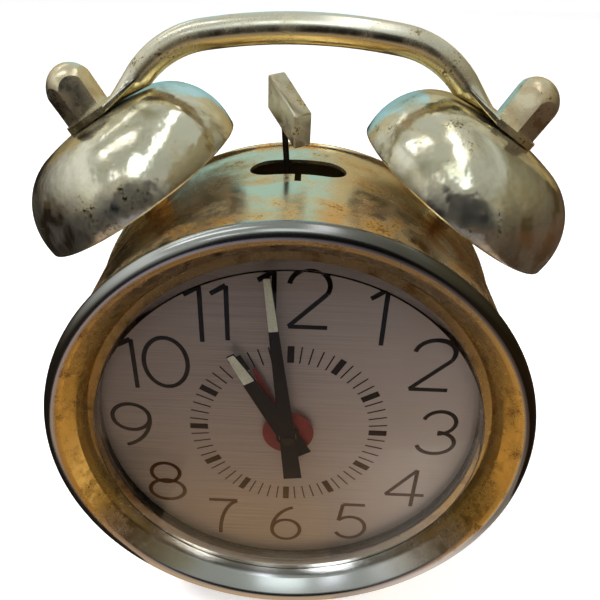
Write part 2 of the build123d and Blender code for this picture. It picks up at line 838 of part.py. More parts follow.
def make_bell(side):
    shoulder = bell_shoulder_share * (bell_height - bell_skirt)
    shoulder_middle = bell_radius - shoulder
    crown_middle = (shoulder_middle**2 + bell_skirt**2 - (bell_height - shoulder) ** 2) / (
        2 * (bell_skirt + shoulder - bell_height))
    crown = bell_height - crown_middle

    def profile(inset):
        """The skirt, shoulder and crown, moved inwards by inset."""
        lean = math.atan2(bell_skirt - crown_middle, shoulder_middle)
        half_lean = lean / 2
        half_crown = (lean + math.pi / 2) / 2
        join = ((crown - inset) * math.cos(lean), crown_middle + (crown - inset) * math.sin(lean))
        waist = (shoulder_middle + (shoulder - inset) * math.cos(half_lean),
                 bell_skirt + (shoulder - inset) * math.sin(half_lean))
        brow = ((crown - inset) * math.cos(half_crown),
                crown_middle + (crown - inset) * math.sin(half_crown))
        start = (bell_radius - inset, bell_skirt)
        return start, waist, join, brow, (0, bell_height - inset)

    o_start, o_waist, o_join, o_brow, o_top = profile(0)
    i_start, i_waist, i_join, i_brow, i_top = profile(bell_wall)
    inner_rim = (bell_radius - bell_wall, 0)
    outline = Line((bell_radius, 0), o_start) + ThreePointArc(o_start, o_waist, o_join)
    outline += ThreePointArc(o_join, o_brow, o_top) + Line(o_top, i_top)
    outline += ThreePointArc(i_top, i_brow, i_join) + ThreePointArc(i_join, i_waist, i_start)
    outline += Line(i_start, inner_rim) + Line(inner_rim, (bell_radius, 0))
    shell = revolve(Rot(90, 0, 0) * make_face(outline), Axis.Z)
    hole = Cylinder(stud_radius + press_fit, bell_height + cut_overrun, align=bottom)
    return on_bell_axis(side) * (shell - hole)


def make_bell_post(side):
    foot = -bell_stand - case_wall
    stud_foot = foot - post_nut_inset - post_nut_height
    stud_top = bell_height + handle_tab_thickness + nut_bore_depth - loose_fit
    shank = Pos(0, 0, foot) * Cylinder(post_radius, bell_height - bell_wall - foot, align=bottom)
    drum = Rot(90, 0, 0) * Cylinder(case_radius + press_fit, 2 * case_back)
    outside = on_bell_axis(side) * shank - drum
    stud = Pos(0, 0, stud_foot) * Cylinder(stud_radius, stud_top - stud_foot, align=bottom)
    trim_radius = post_radius + cut_overrun
    crown_trim = Pos(0, 0, bell_height - 2 * bell_wall) * Cylinder(trim_radius, 2 * bell_wall, align=bottom)
    return outside - on_bell_axis(side) * crown_trim + on_bell_axis(side) * stud


def make_post_nuts():
    foot = -bell_stand - case_wall - post_nut_inset
    nut = Pos(0, 0, foot - post_nut_height) * extrude(hexagon(post_nut_flats), post_nut_height)
    hole_radius = stud_radius + press_fit
    hole = Pos(0, 0, foot - post_nut_height) * Cylinder(hole_radius, post_nut_height, align=bottom)
    return Compound([on_bell_axis(side) * (nut - hole) for side in (-1, 1)])


def make_acorn_nuts():
    dome_rise = nut_height - nut_side_height
    sphere = (nut_corner_radius**2 + dome_rise**2) / (2 * dome_rise)
    half = nut_corner_radius / 2
    brow = (half, nut_height - sphere + math.sqrt(sphere**2 - half**2))
    shoulder = (nut_corner_radius, nut_side_height)
    outline = Polyline((0, nut_height), (0, 0), (nut_corner_radius, 0), shoulder)
    outline += ThreePointArc(shoulder, brow, (0, nut_height))
    body = revolve(Rot(90, 0, 0) * make_face(outline), Axis.Z)
    nut = body & extrude(hexagon(nut_flats), nut_height)
    nut -= Cylinder(stud_radius + press_fit, nut_bore_depth, align=bottom)
    seat = bell_height + handle_tab_thickness
    return Compound([on_bell_axis(side, seat) * Rot(0, 0, nut_turn) * nut for side in (-1, 1)])


def make_handle():
    tab_middle = bell_height + handle_tab_thickness / 2
    frame = on_bell_axis(1)
    tab_end = frame * Pos(-handle_tab_length, 0, tab_middle)
    swell_end = frame * Pos(-handle_tab_length - handle_swell_length, 0, tab_middle + handle_swell_lift)
    start = swell_end.position
    leg_slope = math.tan(math.radians(handle_leg_angle))
    crown_slope = math.tan(math.radians(handle_crown_angle))
    peak = Vector(0, bell_plane, start.Z + handle_rise)
    bend_x = (handle_rise - leg_slope * start.X) / (crown_slope - leg_slope)
    bend = Vector(bend_x, bell_plane, peak.Z - crown_slope * bend_x)
    half_bend = math.tan(math.radians(handle_leg_angle - handle_crown_angle) / 2)
    bend_run = handle_bend_share * (bend - start).length
    crown_run = handle_crown_share * ((peak - bend).length - bend_run)
    radii = [bend_run / half_bend, crown_run / crown_slope, bend_run / half_bend]
    mirrored = [Vector(-point.X, point.Y, point.Z) for point in (bend, start)]
    path = FilletPolyline(start, bend, peak, *mirrored, radius=radii)
    across = Plane(origin=start, x_dir=(0, 1, 0), z_dir=(bend - start).normalized())
    arch = sweep(across * Circle(handle_rod_radius), path=path)
    flat = Plane(origin=tab_end.position, x_dir=(0, 1, 0), z_dir=(-bell_cosine, 0, bell_sine))
    tab_section = flat * RectangleRounded(handle_tab_width, handle_tab_thickness, handle_tab_round)
    swell = loft([tab_section, across * Circle(handle_rod_radius)])
    tab_outline = Pos(-handle_tab_length / 2, 0) * Rectangle(handle_tab_length, handle_tab_width)
    tab_outline += Circle(handle_tab_width / 2)
    tab_outline -= Circle(stud_radius + press_fit)
    tab = frame * Pos(0, 0, bell_height) * extrude(tab_outline, handle_tab_thickness)
    end = swell + tab
    return arch + end + mirror(end, Plane.YZ)


# The whole clock

bottom = (Align.CENTER, Align.CENTER, Align.MIN)
top = (Align.CENTER, Align.CENTER, Align.MAX)

pieces = {
    "case_drum": make_case_drum(),
    "bezel": make_bezel(),
    "crystal": make_crystal(),
    "dial": make_dial(),
    "back_cover": make_back_cover(),
    "cover_screws": make_cover_screws(),
    "cover_studs": make_cover_studs(),
    "front_plate": make_front_plate(),
    "back_plate": make_back_plate(),
    "movement_pillars": make_posts(pillar_places, pillar_radius, front_plate_back, back_plate_front),
    "dial_feet": make_posts(dial_foot_places, dial_foot_radius, dial_thickness, front_plate_front),
    "spring_posts": make_posts(spring_post_places(), spring_post_radius, mainspring_front, back_plate_front),
    "minute_wheel_stud": make_minute_stud(),
    "centre_arbor": make_centre_arbor(),
    "minute_hand": make_minute_hand(),
    "time_set_knob": make_knob(centre_arbor_radius),
    "minute_wheel": make_minute_wheel(),
    "minute_pinion": make_minute_pinion(),
    "hour_wheel": make_hour_wheel(),
    "hour_hand": make_hour_hand(),
    "alarm_wheel": make_alarm_wheel(),
    "alarm_hand": make_alarm_hand(),
    "alarm_set_arbor": make_alarm_set_arbor(),
    "alarm_set_knob": at(alarm_arbor_place, make_knob(arbor_radius)),
    "time_great_wheel": make_great_wheel(time_arbor_place, time_arbor_angle + 180),
    "alarm_great_wheel": make_great_wheel(alarm_great_place, verge_angle),
    "verge_arbor": make_verge_arbor(),
    "verge_wheel": make_verge_wheel(),
    "balance_wheel": make_balance_wheel(),
    "balance_staff": make_balance_staff(),
    "hairspring": make_hairspring(),
    "regulator_lever": make_regulator_lever(),
    "hammer_arbor": make_hammer_arbor(),
    "hammer_pallets": make_hammer_pallets(),
    "hammer_rod": make_hammer_rod(),
    "hammer_head": make_hammer_head(),
    "post_nuts": make_post_nuts(),
    "acorn_nuts": make_acorn_nuts(),
    "handle": make_handle(),
}
for name, place, turn, end_angle in (
        ("time", time_arbor_place, key_time_turn, spring_post_angle),
        ("alarm", alarm_great_place, key_alarm_turn, 180 - spring_post_angle)):
    pieces[name + "_winding_arbor"] = make_winding_arbor(place)
    pieces[name + "_ratchet"] = make_ratchet(place)
    pieces[name + "_mainspring"] = make_mainspring(place, end_angle)
    pieces[name + "_key"] = make_key(place, turn)
for name, side in (("left", -1), ("right", 1)):
    pieces[name + "_bell"] = make_bell(side)
    pieces[name + "_bell_post"] = make_bell_post(side)
for name, (place, angle) in zip(("left_foot", "right_foot", "rear_foot"), foot_places()):
    pieces[name] = make_foot(place, angle)

dial_place = (bezel_reach - key_back) / 2
on_table = Pos(0, dial_place, axis_height)
os.makedirs("parts", exist_ok=True)
for name, piece in pieces.items():
    export_step(on_table * piece, "parts/" + name + ".step")
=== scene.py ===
# %% [markdown]
# # A twin bell alarm clock
# The clock's solids are already made and packed: every piece has its real size and place.
# This script dresses them. It loads the solids as a fixed frame, makes smooth pieces where
# polished metal would show the facets of a solid, and gives each piece its finish.

# %% The frame
import json
import math
import bpy
from mathutils import Matrix, Vector

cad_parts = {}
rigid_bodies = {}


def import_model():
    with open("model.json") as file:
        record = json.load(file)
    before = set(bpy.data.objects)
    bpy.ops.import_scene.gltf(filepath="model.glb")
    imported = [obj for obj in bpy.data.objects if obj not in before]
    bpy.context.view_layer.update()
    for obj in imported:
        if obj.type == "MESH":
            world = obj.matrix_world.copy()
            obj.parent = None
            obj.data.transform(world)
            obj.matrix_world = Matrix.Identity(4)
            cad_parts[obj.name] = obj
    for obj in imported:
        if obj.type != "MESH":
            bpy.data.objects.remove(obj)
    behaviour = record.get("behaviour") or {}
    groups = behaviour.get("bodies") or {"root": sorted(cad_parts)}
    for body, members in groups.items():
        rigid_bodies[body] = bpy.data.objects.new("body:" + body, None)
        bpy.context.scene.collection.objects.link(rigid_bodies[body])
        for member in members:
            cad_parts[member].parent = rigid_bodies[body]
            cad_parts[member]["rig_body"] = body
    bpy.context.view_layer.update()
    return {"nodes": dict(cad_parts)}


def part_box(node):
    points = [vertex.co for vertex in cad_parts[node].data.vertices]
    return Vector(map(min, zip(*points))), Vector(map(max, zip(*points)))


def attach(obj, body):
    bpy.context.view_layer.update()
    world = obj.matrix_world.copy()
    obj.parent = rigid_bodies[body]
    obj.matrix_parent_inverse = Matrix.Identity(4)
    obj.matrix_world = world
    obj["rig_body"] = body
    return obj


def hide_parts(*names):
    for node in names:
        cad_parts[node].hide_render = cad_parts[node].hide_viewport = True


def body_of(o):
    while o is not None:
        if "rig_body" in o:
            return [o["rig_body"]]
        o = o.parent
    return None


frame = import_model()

# %% [markdown]
# All sizes below are in millimetres, counted from the middle of the dial's front face:
# x to the right, y backwards into the case, z up. Blender works in metres on the table,
# so one function turns the first into the second.

# %% Places on the clock
MM = 0.001
X, Y, Z = 0, 1, 2
dial_low, dial_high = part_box("dial")
dial_middle = Vector((0, dial_low.y, (dial_low.z + dial_high.z) / 2))


def on_clock(x, y, z):
    return dial_middle + Vector((x, y, z)) * MM


print("dial middle at", [round(v / MM, 2) for v in dial_middle], "mm")

# %% [markdown]
# ## Working by hand, in code
# An operator acts on whatever is selected, so each step starts by letting go of everything.
# Turned pieces are drawn as half a cross-section and spun round the Z axis, as on a lathe.
# A finished piece keeps its place in its mesh, so its transform is applied.

# %% Hand tools
WELD = 1e-6  # metres: points closer than this are one point


def let_go():
    if bpy.context.object and bpy.context.object.mode != "OBJECT":
        bpy.ops.object.mode_set(mode="OBJECT")
    bpy.ops.object.select_all(action="DESELECT")


def pick(*pieces):
    let_go()
    for piece in pieces:
        piece.select_set(True)
    bpy.context.view_layer.objects.active = pieces[0]
    return pieces[0]


def edit_all():
    """Opens the active piece for editing, with everything in it selected."""
    bpy.ops.object.mode_set(mode="EDIT")
    bpy.ops.mesh.select_all(action="SELECT")


def flat_square(name):
    """A square of one metre, to be shaped into something else."""
    let_go()
    bpy.ops.mesh.primitive_plane_add(size=1.0)
    bpy.context.object.name = name
    return bpy.context.object


def raise_up(height):
    """Pushes the selected face out to a block."""
    bpy.ops.mesh.extrude_region_move(TRANSFORM_OT_translate={"value": (0, 0, height * MM)})


def face_outward():
    bpy.ops.mesh.select_all(action="SELECT")
    bpy.ops.mesh.normals_make_consistent(inside=False)


def seat(piece, place=(0, 0, 0), turn=(0, 0, 0)):
    """Puts a piece in its place and keeps that place in its mesh."""
    pick(piece)
    piece.location = place
    piece.rotation_euler = turn
    bpy.ops.object.transform_apply(location=True, rotation=True, scale=True)
    return piece


def join(name, pieces):
    pick(*pieces)
    bpy.ops.object.join()
    bpy.context.object.name = name
    return bpy.context.object


def smooth(piece, angle=35):
    pick(piece)
    bpy.ops.object.shade_smooth_by_angle(angle=math.radians(angle))
    return piece


print("hand tools ready")

# %% [markdown]
# A drawing is a curve of straight runs. With a thickness it becomes a round wire, and without one it is
# the outline that the lathe spins.

# %% Drawing and turning
def draw(name, runs, closed=False, thick=0):
    """Draws lines of straight runs in the X-Z plane."""
    let_go()
    bpy.ops.curve.primitive_nurbs_path_add()
    drawing = bpy.context.object
    drawing.name = name
    drawing.data.splines.clear()
    for run in runs:
        line = drawing.data.splines.new("POLY")
        line.points.add(len(run) - 1)
        for spot, (across, up) in zip(line.points, run):
            spot.co = (across * MM, 0, up * MM, 1)
        line.use_cyclic_u = closed
    drawing.data.bevel_depth = thick * MM / 2
    drawing.data.bevel_resolution = 2
    drawing.data.use_fill_caps = True
    bpy.ops.object.convert(target="MESH")
    return bpy.context.object


def bow(across, up, half_width, half_height, start, end, steps=20):
    """Points along part of an ellipse, angles in degrees from +x, anticlockwise."""
    points = []
    for step in range(steps + 1):
        angle = math.radians(start + (end - start) * step / steps)
        points.append((across + half_width * math.cos(angle), up + half_height * math.sin(angle)))
    return points


def turn_on_lathe(name, outline, steps=160, closed=True):
    """Spins half a cross-section, given as distance from the axis and height, round Z."""
    piece = draw(name, [outline], closed)
    edit_all()
    bpy.ops.mesh.spin(steps=steps, angle=2 * math.pi, center=(0, 0, 0), axis=(0, 0, 1))
    bpy.ops.mesh.select_all(action="SELECT")
    bpy.ops.mesh.remove_doubles(threshold=WELD)
    face_outward()
    bpy.ops.object.mode_set(mode="OBJECT")
    return smooth(piece)


def shape(piece, kind, **settings):
    """Adds a modifier and applies it."""
    pick(piece)
    modifier = piece.modifiers.new(kind.lower(), kind)
    for key, value in settings.items():
        setattr(modifier, key, value)
    bpy.ops.object.modifier_apply(modifier=modifier.name)
    return piece


def cut_away(piece, *cutters, how="DIFFERENCE"):
    for cutter in cutters:
        shape(piece, "BOOLEAN", object=cutter, operation=how, solver="EXACT")
        bpy.data.objects.remove(cutter)
    return piece


print("points on a quarter bow:", len(bow(0, 0, 1, 1, 0, 90)))

# %% [markdown]
# ## Finishes
# A colour is written as the sRGB hex that an eye would match, and turned to linear light.
# One small function adds a shader node, sets its values and links its sockets. The others below
# it are the few nodes that every finish is made of: noise of a real size, a ramp, a blend.

# %% Colour and node helpers
def colour(hex_code):
    parts = [int(hex_code[i:i + 2], 16) / 255 for i in (1, 3, 5)]
    linear = [p / 12.92 if p <= 0.04045 else ((p + 0.055) / 1.055) ** 2.4 for p in parts]
    return (*linear, 1)


def put(tree, kind, sockets=None, **settings):
    node = tree.nodes.new("ShaderNode" + kind)
    for key, value in settings.items():
        setattr(node, key, value)
    for key, value in (sockets or {}).items():
        if isinstance(value, bpy.types.NodeSocket):
            tree.links.new(value, node.inputs[key])
        else:
            node.inputs[key].default_value = value
    return node


def new_finish(name):
    finish = bpy.data.materials.new(name)
    finish.use_nodes = True
    tree = finish.node_tree
    return finish, tree, tree.nodes["Principled BSDF"]


def wire(tree, surface, **sockets):
    """Links sockets to a surface's inputs. A name's underscores stand for spaces."""
    for name, socket in sockets.items():
        tree.links.new(socket, surface.inputs[name.replace("_", " ")])


def per_metre(size_mm):
    """A texture's scale from the real size of one of its spots."""
    return 1 / (size_mm * MM)


print("white is", [round(c, 3) for c in colour("#FFFFFF")[:3]])


# %% Small groups of nodes
def object_place(tree):
    return put(tree, "TexCoord").outputs["Object"]


def part_of(tree, vector, axis):
    return put(tree, "SeparateXYZ", {0: vector}).outputs[axis]


def noise(tree, place, size_mm, detail, **more):
    sockets = {"Vector": place, "Scale": per_metre(size_mm), "Detail": detail, **more}
    return put(tree, "TexNoise", sockets).outputs["Fac"]


def ramp(tree, value, start, end, low=0.0, high=1.0):
    """Goes from low to high while the value goes from start to end."""
    sockets = {"Value": value, "From Min": start, "From Max": end, "To Min": low, "To Max": high}
    return put(tree, "MapRange", sockets).outputs[0]


def blend(tree, share, first, second):
    """Mixes two colours, each a hex code or a socket."""
    ends = [colour(end) if isinstance(end, str) else end for end in (first, second)]
    return put(tree, "Mix", {0: share, 6: ends[0], 7: ends[1]}, data_type="RGBA").outputs[2]


def reckon(tree, operation, first, second):
    return put(tree, "Math", {0: first, 1: second}, operation=operation).outputs[0]


def measure(tree, operation, first, second, output=0):
    return put(tree, "VectorMath", {0: first, 1: second}, operation=operation).outputs[output]


def relief(tree, height, strength, depth_mm):
    sockets = {"Strength": strength, "Distance": depth_mm * MM, "Height": height}
    return put(tree, "Bump", sockets)


print("a spot of 2 mm has the scale", per_metre(2))

# %% [markdown]
# ### Worn brass plating
# The case, bezel, bells and handle are steel or brass with a thin bright plating. Where hands and damp
# have been, the plating is speckled: brown spots of bare, oxidised metal, a finer grit of pits and broad
# clouds of tarnish that dull the polish. Noises of real sizes give these scales. The bells are also a
# little dented, which breaks up what they mirror.

# %% Worn brass
cloud_edge = 0.42, 0.66   # noise levels over which a cloud of tarnish fades in
patch_edge = 0.5, 0.72    # the same for a broad patch
spot_level, spot_fade = 1.16, 0.08  # sum of the two noises where a bare spot starts, and its soft edge
under_edge = 0.35, -0.1   # upward part of the normal, from side to underside
pit_mm, pit_depth, pit_strength = 0.35, 0.04, 0.25


def worn_brass(name, bright, cloud, spot, cloud_mm, spot_mm, spot_share, polish, dullness,
               painted_underside=None, zones=None, patch=None, bare_metal=0.9, dents=0.0):
    """Polished plating with clouds of tarnish and spots of bare metal."""
    finish, tree, metal = new_finish(name)
    place = object_place(tree)
    clouds = noise(tree, place, cloud_mm, 5.0, Roughness=0.62)
    clouded = ramp(tree, clouds, *cloud_edge)
    speckle = noise(tree, place, spot_mm, 6.0, Roughness=0.7)
    spot_start = spot_level - spot_share
    spotted = ramp(tree, reckon(tree, "ADD", speckle, clouds), spot_start, spot_start + spot_fade)
    plate = blend(tree, clouded, bright, cloud)
    # Painted reflection: faces that turn downwards take the underside tint.
    if painted_underside:
        upward = part_of(tree, put(tree, "NewGeometry").outputs["Normal"], Z)
        plate = blend(tree, ramp(tree, upward, *under_edge), plate, painted_underside)
    if zones:
        plate, silver_and_painted_reflection = zones(tree, place, plate)
        wear_and_painted_shade = reckon(tree, "SUBTRACT", 1.0, silver_and_painted_reflection)
        spotted = reckon(tree, "MULTIPLY", spotted, wear_and_painted_shade)
        clouded = reckon(tree, "MULTIPLY", clouded, wear_and_painted_shade)
    dull = reckon(tree, "MAXIMUM", clouded, spotted)
    if patch:
        patched = ramp(tree, noise(tree, place, 2 * cloud_mm, 6.0, Distortion=0.6), *patch_edge)
        plate = blend(tree, patched, plate, patch)
        dull = reckon(tree, "MAXIMUM", dull, patched)
    pits = reckon(tree, "MULTIPLY", noise(tree, place, pit_mm, 3.0), dull)
    bump = relief(tree, pits, pit_strength, pit_depth)
    if dents:
        hollows = relief(tree, noise(tree, place, cloud_mm, 2.5), 1.0, dents)
        wire(tree, bump, Normal=hollows.outputs["Normal"])
    wire(tree, metal, Metallic=ramp(tree, dull, 0.0, 1.0, 1.0, bare_metal),
         Base_Color=blend(tree, spotted, plate, spot),
         Roughness=ramp(tree, dull, 0.0, 1.0, polish, dullness), Normal=bump.outputs["Normal"])
    return finish


print("clouds fade in from", cloud_edge[0], "to", cloud_edge[1])

# %% [markdown]
# The bezel shows two colours: its round bead is silvery, its band gold. Painted shade darkens the bead
# towards the right, browns the band under the top and dulls the gold in the throat; a painted reflection
# makes the foot pale.

# %% Zones of the bezel
def bezel_zones(tree, place, plate):
    """Colours the bezel by radius and height, with painted shade and a painted pale reflection at the foot.
    Also gives a mask of its silvery bead and that pale foot.
    """
    silver, painted_shade_silver, painted_shade_gold, painted_shade_brown = "#CED2D8", "#6C6A66", "#A88C56", "#86765A"
    off_axis = measure(tree, "SUBTRACT", place, dial_middle)
    radius = measure(tree, "LENGTH", measure(tree, "MULTIPLY", off_axis, (1, 0, 1)), (0, 0, 0), "Value")
    rightward = measure(tree, "DOT_PRODUCT", off_axis, (0.9, 0, 0.45), "Value")
    height = part_of(tree, off_axis, Z)
    bead = ramp(tree, radius, 53.0 * MM, 53.6 * MM)
    band = reckon(tree, "SUBTRACT", 1.0, bead)
    # Painted shade: the bead darkens towards the right.
    wear_and_painted_shade = reckon(tree, "MULTIPLY", bead, ramp(tree, rightward, 5 * MM, 40 * MM))
    # Painted shade: a duller gold in the recess of the throat.
    throat = ramp(tree, radius, 48.8 * MM, 48.4 * MM)
    # Painted shade: the band browns under the top.
    painted_shade_roof = reckon(tree, "MULTIPLY", ramp(tree, height, 20 * MM, 42 * MM, 0.0, 0.85), band)
    # Painted reflection: the foot turns pale silver and is kept free of tarnish.
    foot = ramp(tree, height, -20 * MM, -43 * MM)
    layers = [(bead, silver), (wear_and_painted_shade, painted_shade_silver), (throat, painted_shade_gold), (painted_shade_roof, painted_shade_brown), (foot, silver)]
    for share, tint in layers:
        plate = blend(tree, share, plate, tint)
    return plate, reckon(tree, "MAXIMUM", bead, foot)


# Gold-brown and blotched: the warm middle of the picture.
case_brass = worn_brass("worn_brass_case", "#ECDFBC", "#E4B45E", "#8A5E2A", 8, 0.6, 0.02, 0.2, 0.38,
                        patch="#D69A44", bare_metal=0.68)
# A silver line round a gold band: it frames the dial.
bezel_brass = worn_brass("worn_brass_bezel", "#D2AE5E", "#BC9346", "#74521E", 5, 0.3, 0.09, 0.2, 0.42,
                         zones=bezel_zones, bare_metal=0.8)
# Almost a mirror: bright streaks and dark shapes say that the bells are round and hollow.
bell_brass = worn_brass("tarnished_brass_bells", "#F4F2E6", "#DDD6BA", "#5C5034", 6, 0.6, -0.02, 0.13, 0.24,
                        patch="#A9A488", dents=0.35)
# Pale on top and gold below: the gold is a painted reflection on faces that turn downwards.
handle_brass = worn_brass("pale_brass_handle", "#F6F4EA", "#E2DCC6", "#7A6644", 8, 0.6, 0.0, 0.2, 0.36,
                          painted_underside="#F2DFA6")
# Each flat takes one tone, so the hexagon reads.
nut_brass = worn_brass("dull_brass_nuts", "#F4EAD2", "#D6C09A", "#5A462A", 5, 0.6, -0.02, 0.24, 0.4)
# Rough and nearly matt, as a casting is.
head_brass = worn_brass("dull_brass_hammer_head", "#DEDACA", "#C0B286", "#5E4C30", 4, 0.5, 0.0, 0.32, 0.5,
                        bare_metal=0.5)
# A soft, even sheen on the broad flat back.
cover_brass = worn_brass("satin_brass_cover", "#E6CF98", "#D9C088", "#94703A", 14, 0.5, -0.06, 0.36, 0.44)
print("worn brass finishes: 7")

# %% [markdown]
# ### Brushed dial, paint, glowing paint and glass
# The dial is silvered metal, brushed in straight lines from side to side. The lines are stretched noise:
# long in x and fine in z. The hands are stamped and painted black with pale glowing paint at their ends;
# the alarm pointer is see-through red plastic; the window is a thin clear acrylic dome.

# %% Dial finish
def brushed_dial():
    """Cool grey at the top, with a painted warm reflection at the foot and a painted highlight to the right,
    all in fine level lines.
    """
    finish, tree, metal = new_finish("brushed_silver_dial")
    place = object_place(tree)
    line_size = (per_metre(26), per_metre(5), per_metre(0.32))
    stretched = put(tree, "Mapping", {"Vector": place, "Scale": line_size}).outputs[0]
    line_sockets = {"Vector": stretched, "Scale": 1.0, "Detail": 4.0, "Roughness": 0.6}
    lines = put(tree, "TexNoise", line_sockets).outputs["Fac"]
    shade = ramp(tree, lines, 0.3, 0.7)
    cool = blend(tree, shade, "#8E868C", "#CCC6CA")
    # Painted reflection: a warmer copy of the lines that takes over towards the foot.
    painted_warm_reflection = blend(tree, shade, "#B49E88", "#EBD6BA")
    middle_z = dial_middle.z
    low = ramp(tree, part_of(tree, place, Z), middle_z + 15 * MM, middle_z - 40 * MM)
    # Painted highlight: the dial turns paler towards the right.
    painted_highlight = ramp(tree, part_of(tree, place, X), 0.0, 34 * MM, 0.0, 0.7)
    silver = blend(tree, painted_highlight, blend(tree, low, cool, painted_warm_reflection), "#F2EEF4")
    aged = blend(tree, noise(tree, place, 30, 3.0), silver, "#BEB2AE")
    metal.inputs["Metallic"].default_value = 0.6
    wire(tree, metal, Base_Color=aged, Roughness=ramp(tree, lines, 0.0, 1.0, 0.42, 0.6),
         Normal=relief(tree, lines, 0.12, 0.03).outputs["Normal"])
    return finish


dial_silver = brushed_dial()
print("dial finish:", dial_silver.name)


# %% Paints, plastic and steel
def grained(name, base, other, grain_mm, roughness, metallic=0.0, bumps=0.1, shine=0.5):
    """A plain surface with a fine grain in its colour and relief."""
    finish, tree, surface = new_finish(name)
    grain = noise(tree, object_place(tree), grain_mm, 4.0, Roughness=0.6)
    spread = 0.08
    surface.inputs["Metallic"].default_value = metallic
    surface.inputs["Specular IOR Level"].default_value = shine
    wire(tree, surface, Base_Color=blend(tree, ramp(tree, grain, 0.35, 0.65), base, other),
         Roughness=ramp(tree, grain, 0.0, 1.0, roughness - spread, roughness + spread),
         Normal=relief(tree, grain, bumps, 0.03).outputs["Normal"])
    return finish


def ink_with_painted_reflection():
    """Print that is black at the top, with a painted brown reflection towards the foot of the dial."""
    finish = grained("black_print_ink", "#0A0809", "#120E0E", 0.5, 0.6, shine=0.1)
    tree = finish.node_tree
    surface = tree.nodes["Principled BSDF"]
    black = surface.inputs["Base Color"].links[0].from_socket
    height = part_of(tree, object_place(tree), Z)
    # Painted reflection: the print turns brown towards the foot.
    low = ramp(tree, height, dial_middle.z + 4 * MM, dial_middle.z - 26 * MM)
    wire(tree, surface, Base_Color=blend(tree, low, black, "#6E4E30"))
    return finish


def clear_acrylic():
    """A thin window, a little hazy. Its index is below real acrylic's, so it mirrors less of the room."""
    finish, tree, surface = new_finish("clear_acrylic_crystal")
    haze = noise(tree, object_place(tree), 18, 4.0)
    wire(tree, surface, Roughness=ramp(tree, haze, 0.4, 0.75, 0.0, 0.05))
    surface.inputs["Base Color"].default_value = colour("#FBFBF8")
    surface.inputs["IOR"].default_value = 1.28
    surface.inputs["Transmission Weight"].default_value = 1.0
    return finish


def red_plastic():
    finish = grained("red_plastic_pointer", "#8E1E22", "#A62A2A", 1.2, 0.3)
    finish.node_tree.nodes["Principled BSDF"].inputs["Alpha"].default_value = 0.85
    return finish


acrylic = clear_acrylic()      # the dial reads through it
pointer_red = red_plastic()    # the one strong colour, half hidden
print_ink = ink_with_painted_reflection()       # numerals take a painted brown reflection towards the foot
# Flat black against the bright dial, and chalky pale ends that stand out from it.
hand_black = grained("black_stoving_paint", "#08070A", "#100E10", 0.8, 0.45, shine=0.15)
glow_paint = grained("pale_glowing_paint", "#F2F2E4", "#E0E0D0", 0.6, 0.7, bumps=0.3)
# A thin dark line from slot to hammer head.
black_steel = grained("blackened_steel_rod", "#16130F", "#2A241C", 0.7, 0.4, 0.6)
# Inside and behind: grey arbors and screws, yellow wheels and blue springs keep apart at a glance.
bright_steel = grained("ground_steel", "#9B9A97", "#7F7D79", 0.3, 0.3, 1.0)
movement_brass = grained("rolled_brass_movement", "#B9924A", "#A67F3B", 1.5, 0.32, 1.0)
spring_steel = grained("blued_spring_steel", "#3A3F4E", "#4B4A52", 0.9, 0.28, 1.0)
print("plain finishes: 8")

# %% [markdown]
# ## Dressing a piece
# A piece gets its finish, is attached to the body that carries it, and the solids it stands for are hidden.
# Some
# solids only need smoother shading: they get a copy with its corners joined. The solid is left alone.


def dress(piece, finish, body=None, stands_for=()):
    piece.data.materials.clear()
    piece.data.materials.append(finish)
    if body:
        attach(piece, body)
    if stands_for:
        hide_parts(*stands_for)
    return piece


def dress_as_solid(piece, finish, name):
    """For a piece that stands for one solid: the same body, and the solid is hidden."""
    return dress(piece, finish, body_of(frame["nodes"][name])[0], [name])


def smooth_copy(name, finish, angle=35):
    let_go()
    bpy.ops.mesh.primitive_cube_add()
    copy = bpy.context.object
    copy.name = name + "_smooth"
    copy.data = frame["nodes"][name].data.copy()
    bpy.ops.mesh.customdata_custom_splitnormals_clear()
    edit_all()
    bpy.ops.mesh.remove_doubles(threshold=WELD)
    bpy.ops.object.mode_set(mode="OBJECT")
    smooth(copy, angle)
    return dress_as_solid(copy, finish, name)


# %% [markdown]
# ## The camera
# The photograph was taken from close by, a little above the clock's bells and looking down.
# Its place was worked out from the minute marks, the bezel and the bells' rims, so the same lens
# from the same place gives the same strong perspective.

# %% Camera
picture_px, focal_px, centre_px = 600, 656.11, (280.85, 434.31)
eye = on_clock(0.9798, -123.1538, 102.9848)
yaw, pitch, roll = -0.02222, 0.70456, -0.02663
ahead = Vector((math.sin(yaw) * math.cos(pitch), math.cos(yaw) * math.cos(pitch), -math.sin(pitch)))
level = Vector((math.cos(yaw), -math.sin(yaw), 0))
down = ahead.cross(level)
right = level * math.cos(roll) + down * math.sin(roll)
down = down * math.cos(roll) - level * math.sin(roll)
bpy.ops.object.camera_add(location=eye)
camera = bpy.context.object
camera.data.sensor_width = 36.0
camera.data.lens = focal_px / picture_px * camera.data.sensor_width
camera.data.shift_x = (picture_px / 2 - centre_px[0]) / picture_px
camera.data.shift_y = (centre_px[1] - picture_px / 2) / picture_px
camera.data.clip_start = 0.005
camera.rotation_euler = Matrix((right, -down, -ahead)).transposed().to_euler()
bpy.context.scene.camera = camera
print("camera at", [round(v / MM, 1) for v in camera.location], "mm, lens", round(camera.data.lens, 2), "mm")

# %% [markdown]
# ## Floor and light
# A white floor and white surroundings, as on a photographer's table, with a soft panel above and
# to the left. The floor glows a little where the eye sees it, so that it is as white as the background
# and still holds the shadow.

